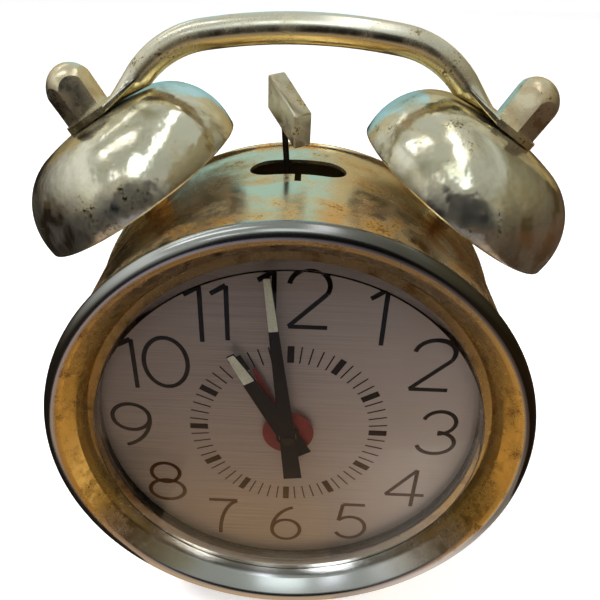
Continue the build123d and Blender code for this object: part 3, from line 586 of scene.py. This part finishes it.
# %% Floor and world
def seen_by_eye(tree):
    """1 for what the camera sees straight, in a mirror or through the window."""
    path = put(tree, "LightPath").outputs
    mirrored = reckon(tree, "MAXIMUM", path["Is Camera Ray"], path["Is Glossy Ray"])
    return reckon(tree, "MAXIMUM", mirrored, path["Is Transmission Ray"])


def white_floor():
    finish, tree, surface = new_finish("white_table")
    grain = noise(tree, object_place(tree), 40, 2.0)
    wire(tree, surface, Base_Color=blend(tree, grain, "#F4F3F1", "#FAFAF8"))
    surface.inputs["Roughness"].default_value = 0.9
    glow = put(tree, "Emission", {"Color": (1, 1, 1, 1), "Strength": 0.55})
    shown = put(tree, "AddShader", {0: surface.outputs[0], 1: glow.outputs[0]})
    chosen = put(tree, "MixShader", {0: seen_by_eye(tree), 1: surface.outputs[0], 2: shown.outputs[0]})
    wire(tree, tree.nodes["Material Output"], Surface=chosen.outputs[0])
    return finish


let_go()
bpy.ops.mesh.primitive_circle_add(vertices=96, radius=6.0, fill_type="NGON", location=(0, 0, 0))
floor = bpy.context.object
floor.name = "white_floor"
floor.data.materials.append(white_floor())

world = bpy.data.worlds.new("white_studio")
bpy.context.scene.world = world
world.use_nodes = True
sky = world.node_tree
backdrop = put(sky, "Background", {"Color": (1, 1, 1, 1), "Strength": 1.0})
ambient = put(sky, "Background", {"Color": colour("#F2F5FA"), "Strength": 0.45})
chosen = put(sky, "MixShader", {0: seen_by_eye(sky), 1: ambient.outputs[0], 2: backdrop.outputs[0]})
wire(sky, sky.nodes["World Output"], Surface=chosen.outputs[0])
print("floor radius:", floor.dimensions.x / 2, "m")


# %% Lamps
def soft_panel(name, place, size, power, tint):
    """A rectangular lamp that looks at the clock and shows in no reflection."""
    aim = Vector((0, 0, 0.1))
    bpy.ops.object.light_add(type="AREA", location=place)
    lamp = bpy.context.object
    lamp.name = name
    lamp.data.shape = "RECTANGLE"
    lamp.data.size, lamp.data.size_y = size
    lamp.data.energy = power
    lamp.data.color = colour(tint)[:3]
    lamp.visible_glossy = False
    lamp.rotation_euler = (aim - Vector(place)).to_track_quat("-Z", "Y").to_euler()
    return lamp


soft_panel("key_panel", (-0.35, -0.15, 0.75), (0.35, 0.25), 5.0, "#FFFFFF")
soft_panel("fill_panel", (0.55, -0.25, 0.55), (0.3, 0.3), 2.0, "#FFF6EA")
print("lamps: 2")

# %% [markdown]
# ## A room to mirror
# Polished metal only looks like metal when it has something to mirror. So a small room of cards stands
# around the set, as photographers do: dark in front, brown at the sides, a blue-green cloth behind, pale
# strips above and lighter sheets on the table. They show in reflections alone.

# %% Cards
def card_paint(name, near, far, along, start, end, strength=1.0):
    """Plain light that goes from one colour to another along X, Y or Z."""
    finish, tree, _ = new_finish(name)
    share = ramp(tree, part_of(tree, object_place(tree), along), start, end)
    light = put(tree, "Emission", {"Color": blend(tree, share, near, far), "Strength": strength})
    wire(tree, tree.nodes["Material Output"], Surface=light.outputs[0])
    return finish


def card(name, middle, across, up, *paint):
    """A card that only reflections see."""
    sheet = flat_square(name)
    across, up = Vector(across), Vector(up)
    away = across.cross(up).normalized()
    sheet.matrix_world = Matrix.Translation(middle) @ Matrix((across, up, away)).transposed().to_4x4()
    bpy.ops.object.transform_apply(location=True, rotation=True, scale=True)
    sheet.data.materials.append(card_paint(name + "_paint", *paint))
    sheet.visible_camera = False
    sheet.visible_diffuse = False
    sheet.visible_shadow = False
    return sheet


walls = [  # name, middle, width along X and Y, colours from low to high, heights where they start and end
    ("front_wall", (0, -1.0), (2.2, 0), "#34322F", "#A8A69A", 0.08, 0.7),
    ("left_wall", (-0.9, 0.05), (0, 2.1), "#42382A", "#DADACE", 0.08, 0.64),
    ("right_wall", (0.9, 0.05), (0, 2.1), "#43361F", "#8E8668", 0.12, 0.7),
    ("back_wall", (0, 1.12), (2.2, 0), "#98824C", "#BDB696", 0.05, 0.6),
    ("back_cloth", (-0.16, 1.1), (0.62, 0), "#82B2B8", "#ACD2D8", 0.0, 0.5)]
wall_height = 0.86
for name, middle, width, low, high, start, end in walls:
    card(name, (*middle, wall_height / 2), (*width, 0), (0, 0, wall_height), low, high, Z, start, end)
card("viewer", (0.06, -0.97, 0.37), (0.9, 0, 0), (0, 0, 0.74), "#0E0F12", "#3A3836", Z, 0.2, 0.8)

bright_strip = "#FFFFFF", "#FBFBF2", Y, -0.6, 0.8, 2.2
level_cards = [  # name, middle, sides along X and Y, colours, the way they change and where, strength
    ("ceiling", (0, 0.06, 0.86), (1.9, 0), (0, 2.2), "#A2A496", "#BEC0B2", Y, -0.6, 0.8),
    ("strip_over", (0.13, 0.0, 0.85), (0.12, 0), (0, 0.8), *bright_strip),
    ("strip_left", (-0.47, 0.0, 0.85), (0.54, 0), (0, 0.15), *bright_strip),
    ("strip_far_left", (-0.56, 0.66, 0.85), (0.11, -0.09), (0.36, 0.42), *bright_strip),
    ("strip_near_left", (-0.43, -0.72, 0.85), (0.2, 0), (0, 0.16), *bright_strip),
    ("front_strip", (0, -0.6, 0.84), (0.36, 0), (0, 0.4), "#F4FAF2", "#E4EEE4", Y, -0.8, -0.4, 1.8),
    ("table", (0, 0.05, 0.001), (2.2, 0), (0, 2.3), "#1E1812", "#523C28", X, -0.1, 0.4),
    ("table_near", (0, -0.0575, 0.002), (0.09, 0), (0, 0.065), "#BCA28C", "#DCBA90", Y, -0.09, -0.03),
    ("table_front", (0, -0.255, 0.002), (0.25, 0), (0, 0.33), "#84828E", "#B89C84", Y, -0.3, -0.09),
    ("table_right", (0.0575, -0.06, 0.003), (0.085, 0), (0, 0.08), "#BCA28C", "#FFEEDC", X, 0.015, 0.045)]
for name, middle, across, along, *paint in level_cards:
    card(name, middle, (*across, 0), (*along, 0), *paint)
print("cards:", len(walls) + len(level_cards) + 1)

# %% [markdown]
# ## Case drum
# The drum is rolled from thin sheet, with a rolled bead at its back edge. A lathe outline gives the wall and
# the bead, and two cutters, shaped from planes, stamp the hammer's slot and its notch through the top.

# %% Case drum
back_turn = (-math.pi / 2, 0, 0)  # from a lathe's upright axis to the clock's, front to back
case_radius, case_wall, case_front, case_back, bead = 54.75, 0.8, -6.829, 39.8, 0.7
bell_plane = 24.0
wall = [(case_radius - case_wall, case_front), (case_radius, case_front), (case_radius, case_back - 2 * bead)]
wall += bow(case_radius, case_back - bead, bead, bead, -90, 180, 16)
drum = turn_on_lathe("case_drum_sheet", wall, 200)
seat(drum, on_clock(0, 0, 0), back_turn)


def stamp(name, length, width, middle_y, corners):
    """A flat outline with rounded corners, pushed up through the case's top."""
    foot, height = 30, 50
    cutter = flat_square(name)
    edit_all()
    bpy.ops.transform.resize(value=(length * MM, width * MM, 1))
    bpy.ops.mesh.bevel(offset=corners * MM, segments=12, affect="VERTICES")
    raise_up(height)
    face_outward()
    return seat(cutter, on_clock(0, middle_y, foot))


slot_length, slot_width, notch_width, notch_length = 21.2, 9.4, 1.4, 4.1
slot_round, notch_round = slot_width / 2 - 0.01, 0.1
notch_reach = slot_width / 2 + notch_length
cut_away(drum, stamp("slot_stamp", slot_length, slot_width, bell_plane, slot_round),
         stamp("notch_stamp", notch_width, notch_reach, bell_plane - notch_reach / 2, notch_round))
smooth(drum)
dress(drum, case_brass, "case", ["case_drum"])
print("drum faces:", len(drum.data.polygons))

# %% [markdown]
# ## Bezel
# One sheet ring, spun to shape: a round bead at the front, a flat gold band that slopes in, a steep throat
# and a thin lip that holds the window. The outline follows it round both sides.

# %% Bezel
crest, reach, bead_radius = 53.75, 11.2, 2.3
bead_middle = bead_radius - reach
lip, throat, band = 45.85, 47.9, 49.4
lip_front, lip_back, band_back = -3.2, -2.5, -6.95
lip_round, band_round = 0.3, 0.35
sheet_outer, sheet_inner = 53.93, 53.23
front = [(lip, lip_front), (throat - lip_round, lip_front)]
front += bow(throat - lip_round, lip_front - lip_round, lip_round, lip_round, 90, 20, 4)
front += bow(band + band_round, band_back, band_round, band_round, 200, 220, 3)
front += bow(crest, bead_middle, bead_radius, -bead_radius, 140, -64, 34)
back = [(sheet_outer, case_front), (sheet_outer, 0), (sheet_inner, 0), (sheet_inner, bead_middle)]
back += [(52.55, -9.96), (49.96, -6.48), (48.46, lip_back), (lip, lip_back)]
bezel = turn_on_lathe("bezel_ring", front + back, 220)
seat(bezel, on_clock(0, 0, 0), back_turn)
dress(bezel, bezel_brass, "case", ["bezel"])
print("bezel faces:", len(bezel.data.polygons))

# %% [markdown]
# ## Window
# The domed window is moulded in one piece with a flange that the bezel's lip holds down.

# %% Crystal
window_radius, window_sheet, shoulder, rise, foot = 45.55, 0.4, 7.0, 3.0, -0.3
edge_round, edge_set, dome_steps = 0.4, 0.38, 24
sphere = (window_radius ** 2 + rise ** 2) / (2 * rise)


def dome(radius):
    return -(shoulder + rise) + sphere - math.sqrt(sphere ** 2 - radius ** 2)


inner = window_radius - window_sheet
outside = [(r, dome(r)) for r in [window_radius * i / dome_steps for i in range(dome_steps)]]
edge = bow(window_radius - edge_round, -shoulder + edge_set, edge_round, edge_round, -80, 0, 6)
flange = [(window_radius, lip_back), (throat, lip_back), (throat, foot), (inner, foot)]
inner_radii = [inner * (dome_steps - i) / dome_steps for i in range(dome_steps + 1)]
inside = [(r, dome(r) + window_sheet) for r in inner_radii]
window = turn_on_lathe("domed_window", outside + edge + flange + inside, 160, closed=False)
seat(window, on_clock(0, 0, 0), back_turn)
dress(window, acrylic, "case", ["crystal"])
print("window faces:", len(window.data.polygons))

# %% [markdown]
# ## Dial printing
# A ring of minute marks, heavier at each five minutes, and numerals drawn with one even stroke. Each
# numeral is a line drawn with arcs and straight runs, thickened like a pen's line and then pressed flat
# on the dial.

# %% Minute marks
upright = (math.pi / 2, 0, 0)  # from flat on the table to flat on the dial
ring_inner, ring_outer, print_height = 19.63, 24.0, 0.05
ring_middle = (ring_inner + ring_outer) / 2
hour_mark, minute_mark = 1.55, 0.32
marks = []
for minute in range(60):
    width = hour_mark if minute % 5 == 0 else minute_mark
    mark = flat_square("mark")
    bpy.ops.object.mode_set(mode="EDIT")
    bpy.ops.transform.resize(value=(width * MM, (ring_outer - ring_inner) * MM, 1))
    raise_up(print_height)
    bpy.ops.object.mode_set(mode="OBJECT")
    angle = math.radians(6 * minute)
    seat(mark, (0, 0, 0), upright)
    place = on_clock(ring_middle * math.sin(angle), 0, ring_middle * math.cos(angle))
    marks.append(seat(mark, place, (0, angle, 0)))
dress(join("minute_track", marks), print_ink, "case")
print("minute marks:", len(marks))

# %% Numerals
stroke, tall = 1.05, 14.3


def figure(digit, width):
    """The pen lines of one digit, about its middle. Its half width is a and its half height b."""
    a, b = (width - stroke) / 2, (tall - stroke) / 2
    bowl = bow(0, -0.40 * b, a, 0.60 * b, 0, 360, 36)
    stem = bow(0.95 * a, -0.40 * b, 1.95 * a, 1.40 * b, 105, 180, 16)
    six = [bowl, stem]
    return {
        "0": [bow(0, 0, a, b, 0, 360, 40)],
        "1": [[(-a, 0.70 * b), (a, b)], [(a, b), (a, -b)]],
        "2": [bow(0, 0.46 * b, a, 0.54 * b, 172, -28, 24), [(0.88 * a, 0.21 * b), (-a, -b)],
              [(-a, -b), (a, -b)]],
        "3": [bow(-0.05 * a, 0.48 * b, 0.86 * a, 0.52 * b, 165, -90, 22),
              bow(-0.05 * a, -0.48 * b, a, 0.52 * b, 90, -165, 24)],
        "4": [[(0.42 * a, -b), (0.42 * a, b)], [(0.42 * a, b), (-a, -0.36 * b)],
              [(-a, -0.36 * b), (a, -0.36 * b)]],
        "5": [[(0.78 * a, b), (-0.62 * a, b)], [(-0.62 * a, b), (-0.80 * a, 0.05 * b)],
              bow(-0.04 * a, -0.36 * b, a, 0.64 * b, 140, -150, 26)],
        "6": six,
        "7": [[(-a, b), (a, b)], bow(1.2 * a, -b, 1.5 * a, 1.98 * b, 98, 180, 14)],
        "8": [bow(0, 0.49 * b, 0.80 * a, 0.51 * b, 0, 360, 32), bow(0, -0.45 * b, a, 0.55 * b, 0, 360, 36)],
        "9": [[(-x, -z) for x, z in run] for run in six],
    }[digit]


hour_numbers = [  # digit, width, and the place of its middle across and up
    ("1", 4.4, -5.64, 34.95), ("2", 9.5, 3.41, 35.59), ("1", 4.4, 17.96, 31.7), ("2", 9.9, 31.83, 20.27),
    ("3", 10.2, 36.44, 0.76), ("4", 11.2, 31.28, -18.45), ("5", 9.5, 18.11, -32.12), ("6", 8.8, 0.33, -33.85),
    ("7", 8.7, -16.84, -32.29), ("8", 10.2, -31.58, -19.57), ("9", 10.1, -38.33, -0.66),
    ("1", 4.4, -37.3, 17.53), ("0", 11.0, -28.32, 18.29), ("1", 4.4, -21.32, 30.87),
    ("1", 4.4, -15.68, 31.49)]
pressed_flat = (1, 0.08, 1)
figures = []
for digit, width, x, z in hour_numbers:
    pen = draw("figure", figure(digit, width), thick=stroke)
    edit_all()
    bpy.ops.transform.resize(value=pressed_flat, center_override=(0, 0, 0))
    bpy.ops.object.mode_set(mode="OBJECT")
    figures.append(seat(pen, on_clock(x, 0, z)))
dress(join("hour_numerals", figures), print_ink, "case")
print("figures drawn:", len(figures))

# %% [markdown]
# ## Glowing paint on the hands
# The hands are flat stampings, black, and their outer ends are filled with pale glowing paint that stands
# a little proud. Each fill is a tapered plate on its hand, and turns with it.

# %% Hand fills
def hand_fill(name, inner_r, outer_r, inner_w, outer_w, front_y, turn, body):
    corner_round, fill_height, edge_ease = 0.25, 0.16, 0.06
    fill = flat_square(name)
    for corner in fill.data.vertices:
        outer_end = corner.co.y > 0
        width, radius = (outer_w, outer_r) if outer_end else (inner_w, inner_r)
        corner.co = (math.copysign(width / 2, corner.co.x) * MM, radius * MM, 0)
    edit_all()
    bpy.ops.mesh.bevel(offset=corner_round * MM, segments=4, affect="VERTICES")
    bpy.ops.mesh.select_all(action="SELECT")
    raise_up(fill_height)
    face_outward()
    bpy.ops.object.mode_set(mode="OBJECT")
    shape(fill, "BEVEL", width=edge_ease * MM, segments=2, limit_method="ANGLE")
    seat(fill, (0, 0, 0), upright)
    seat(fill, on_clock(0, front_y, 0), (0, math.radians(turn), 0))
    return dress(fill, glow_paint, body)


minute_angle = -7.2
hour_angle = minute_angle / 12 - 30
hand_fill("minute_hand_fill", 30.3, 42.5, 2.1, 1.45, -4.2, minute_angle, "minute_work")
hand_fill("hour_hand_fill", 18.1, 26.1, 2.9, 1.7, -2.8, hour_angle, "hour_work")
print("hand angles", minute_angle, round(hour_angle, 2))

# %% [markdown]
# ## Bells
# Each bell is pressed from sheet: a short straight skirt, a wide round shoulder and a flatter crown. The
# shoulder and crown are two arcs that meet without a corner, and the inner side is the same outline moved
# in by the sheet's thickness.

# %% Bells
bell_radius, bell_height, skirt, bell_wall, post_hole = 24.75, 16.8, 1.75, 1.0, 1.82
shoulder_r = 0.94 * (bell_height - skirt)
shoulder_x = bell_radius - shoulder_r
crown_drop = skirt + shoulder_r - bell_height
crown_z = (shoulder_x ** 2 + skirt ** 2 - (bell_height - shoulder_r) ** 2) / (2 * crown_drop)
crown_r = bell_height - crown_z
meet = math.degrees(math.atan2(skirt - crown_z, shoulder_x))


def bell_side(inset):
    crown_end = math.degrees(math.acos(post_hole / (crown_r - inset)))
    shoulder_part = bow(shoulder_x, skirt, shoulder_r - inset, shoulder_r - inset, 0, meet, 28)
    crown_part = bow(0, crown_z, crown_r - inset, crown_r - inset, meet, crown_end, 14)
    return shoulder_part + crown_part[1:]


half_wall = bell_wall / 2
rim = bow(bell_radius - half_wall, half_wall, half_wall, half_wall, -180, 0, 8)
outline = rim + bell_side(0) + list(reversed(bell_side(bell_wall)))
tilt, axis_offset, stand = math.radians(31.72), 4.81, 5.41
off_middle = axis_offset * math.cos(tilt)
to_drum = math.sqrt(case_radius ** 2 - off_middle ** 2) - axis_offset * math.sin(tilt)
to_rim = to_drum + stand


def on_bell(side, height):
    """A place on a bell's axis, at a height above its rim. Side is -1 for left, 1 for right."""
    along = to_rim + height
    return on_clock(side * (axis_offset + along * math.sin(tilt)), bell_plane, along * math.cos(tilt))


for side, word in ((-1, "left"), (1, "right")):
    bell = turn_on_lathe(word + "_bell_shell", outline, 180)
    seat(bell, on_bell(side, 0), (0, side * tilt, 0))
    dress(bell, bell_brass, "case", [word + "_bell"])
print("bell rims at", [round(v / MM, 1) for v in on_bell(1, 0)], "mm on the table")

# %% [markdown]
# ## Domed nuts
# A domed nut is a hexagon bar whose end was turned to a dome: the flats run into the round in arcs. So a
# six-sided prism is kept only where it meets a turned, domed plug, and its edges are eased a little.

# %% Domed nuts
flats, nut_height, nut_side, nut_turn, nut_ease = 8.9, 10.1, 6.1, math.radians(52), 0.35
tab_thick = 1.3  # the handle's flat end lies between bell and nut
corner = flats / math.sqrt(3)
dome_rise = nut_height - nut_side
dome_sphere = (corner ** 2 + dome_rise ** 2) / (2 * dome_rise)
dome_start = math.degrees(math.asin((dome_sphere - dome_rise) / dome_sphere))
plug_foot = [(0, -0.01), (corner + 0.05, -0.01)]
plug_dome = bow(0, nut_height - dome_sphere, dome_sphere, dome_sphere, dome_start, 90, 20)
nuts = []
for side in (-1, 1):
    let_go()
    bpy.ops.mesh.primitive_cylinder_add(vertices=6, radius=corner * MM, depth=nut_height * MM)
    nut = bpy.context.object
    seat(nut, (0, 0, nut_height / 2 * MM), (0, 0, nut_turn))
    cut_away(nut, turn_on_lathe("nut_plug", plug_foot + plug_dome, 96, closed=False), how="INTERSECT")
    shape(nut, "BEVEL", width=nut_ease * MM, segments=3, limit_method="ANGLE", angle_limit=math.radians(25))
    smooth(nut, 30)
    nuts.append(seat(nut, on_bell(side, bell_height + tab_thick), (0, side * tilt, 0)))
dress(join("domed_nuts", nuts), nut_brass, "case", ["acorn_nuts"])
print("nuts:", len(nuts))

# %% [markdown]
# ## Handle
# A polished solid shows its facets, so the handle gets a smooth copy. Its rod was hammered flat at both
# ends, and metal that is hammered spreads: near the nuts, the copy's corners are moved outwards, more and
# more towards the end.

# %% Handle
handle = smooth_copy("handle", handle_brass, angle=40)
tab_end, swell_end, tab_wider = 5.5, 14.0, 1.42
tab_below, tab_above = -1, 4
for corner in handle.data.vertices:
    side = math.copysign(1, corner.co.x)
    turned = Matrix.Rotation(side * tilt, 3, "Y")
    local = turned.inverted() @ (corner.co - on_bell(side, bell_height)) / MM
    outward = side * local.x
    if tab_below < local.z < tab_above and -swell_end < outward:
        share = min(1, (outward + swell_end) / (swell_end - tab_end))
        wider = 1 + (tab_wider - 1) * share * share * (3 - 2 * share)
        longer = tab_wider if outward > 0 else 1
        moved = Vector((local.x * longer, local.y * wider, local.z))
        corner.co = turned @ (moved * MM) + on_bell(side, bell_height)
print("handle corners:", len(handle.data.vertices))

# %% [markdown]
# ## Hammer head
# A cast block that leans, with eased edges. It is drawn from the side, pushed out to its thickness and
# turned to stand askew on its rod.

# %% Hammer head
def hammer_head():
    half, top, slope, height, thick, ease = 4.4, 42.4, 6.3, 6.4, 4.8, 0.45
    low_end, high_end = top - slope / 2, top + slope / 2
    ends = [(-half, low_end), (half, high_end), (half, high_end - height), (-half, low_end - height)]
    head = draw("hammer_head_block", [ends], closed=True)
    edit_all()
    bpy.ops.mesh.edge_face_add()
    bpy.ops.mesh.extrude_region_move(TRANSFORM_OT_translate={"value": (0, thick * MM, 0)})
    bpy.ops.mesh.select_all(action="SELECT")
    bpy.ops.transform.translate(value=(0, -thick / 2 * MM, 0))
    bpy.ops.mesh.normals_make_consistent(inside=False)
    bpy.ops.object.mode_set(mode="OBJECT")
    shape(head, "BEVEL", width=ease * MM, segments=3)
    smooth(head, 30)
    pivot_x, pivot_z, askew = -2.253, 26.839, math.radians(133)
    seat(head, on_clock(pivot_x, bell_plane, pivot_z), (0, 0, askew))
    return dress_as_solid(head, head_brass, "hammer_head")


hammer_head()
print("hammer head made")

# %% [markdown]
# ## Feet, cover, posts and keys
# These solids have the right shape, and only need to shade smooth.

# %% Smooth copies
copies = {
    cover_brass: ["left_foot", "right_foot", "rear_foot", "back_cover"],
    case_brass: ["left_bell_post", "right_bell_post"],
    nut_brass: ["time_key", "alarm_key", "time_set_knob", "alarm_set_knob"],
    black_steel: ["hammer_rod"],
    bright_steel: ["regulator_lever", "cover_screws"],
}
for finish, names in copies.items():
    for name in names:
        smooth_copy(name, finish)
print("smooth copies:", sum(len(names) for names in copies.values()))

# %% [markdown]
# ## What stays as it was made
# The flat and inner pieces are right as solids. They only get their finishes.

# %% Finishes for the remaining solids
inner_finishes = {
    dial_silver: ["dial"],
    hand_black: ["minute_hand", "hour_hand"],
    pointer_red: ["alarm_hand"],
    black_steel: ["hammer_arbor", "hammer_pallets", "centre_arbor"],
    movement_brass: ["front_plate", "back_plate", "movement_pillars", "minute_wheel", "hour_wheel",
                     "alarm_wheel", "time_great_wheel", "alarm_great_wheel", "verge_wheel", "balance_wheel"],
    bright_steel: ["cover_studs", "dial_feet", "spring_posts", "minute_wheel_stud", "minute_pinion",
                   "alarm_set_arbor", "time_winding_arbor", "alarm_winding_arbor", "time_ratchet",
                   "alarm_ratchet", "verge_arbor", "balance_staff", "post_nuts"],
    spring_steel: ["time_mainspring", "alarm_mainspring", "hairspring"],
}
for finish, names in inner_finishes.items():
    for name in names:
        dress(frame["nodes"][name], finish)
print("solids with a finish:", sum(len(names) for names in inner_finishes.values()))

# %% [markdown]
# ## The last look
# The picture keeps plain colours.

# %% Finish
bpy.context.scene.view_settings.view_transform = "Standard"
